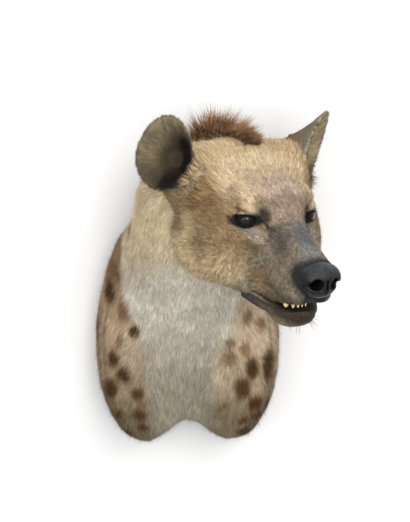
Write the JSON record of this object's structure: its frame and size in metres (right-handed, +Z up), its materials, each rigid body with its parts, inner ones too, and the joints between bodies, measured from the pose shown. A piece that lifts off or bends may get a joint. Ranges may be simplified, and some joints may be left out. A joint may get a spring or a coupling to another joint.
{
  "type": "spotted hyena shoulder mount",
  "caption": "Life-size taxidermy shoulder mount of an adult spotted hyena, hung on a wall, head turned to its left with the lips slightly parted.",
  "frame": {"origin": "middle of the hidden wall board's wall face, at the wall", "axes": "+X to the animal's left, +Y into the wall, +Z up"},
  "size_m": [0.3161, 0.4089, 0.4734],
  "materials": {
    "hide": "short pale grey-beige and tan coat with dark brown spots",
    "face": "short tan coat, darker and greyer on the muzzle",
    "lips": "dark lips and greyish brown short hair",
    "ears": "short olive grey-brown hair, near black canal",
    "eyes": "polished dark glass eye",
    "nose_pad": "pebbled blue-black, slightly glossy",
    "mane_hair": "coarse reddish brown hair with darker roots",
    "board": "plain plywood"
  },
  "bodies": {
    "root": {"chest": "hide", "neck": "hide", "head": "face", "lower_jaw": "lips", "ear_left": "ears", "ear_right": "ears", "eye_left": "eyes", "eye_right": "eyes", "nose": "nose_pad", "mane": "mane_hair", "wall_board": "board"}
  },
  "joints": []
}
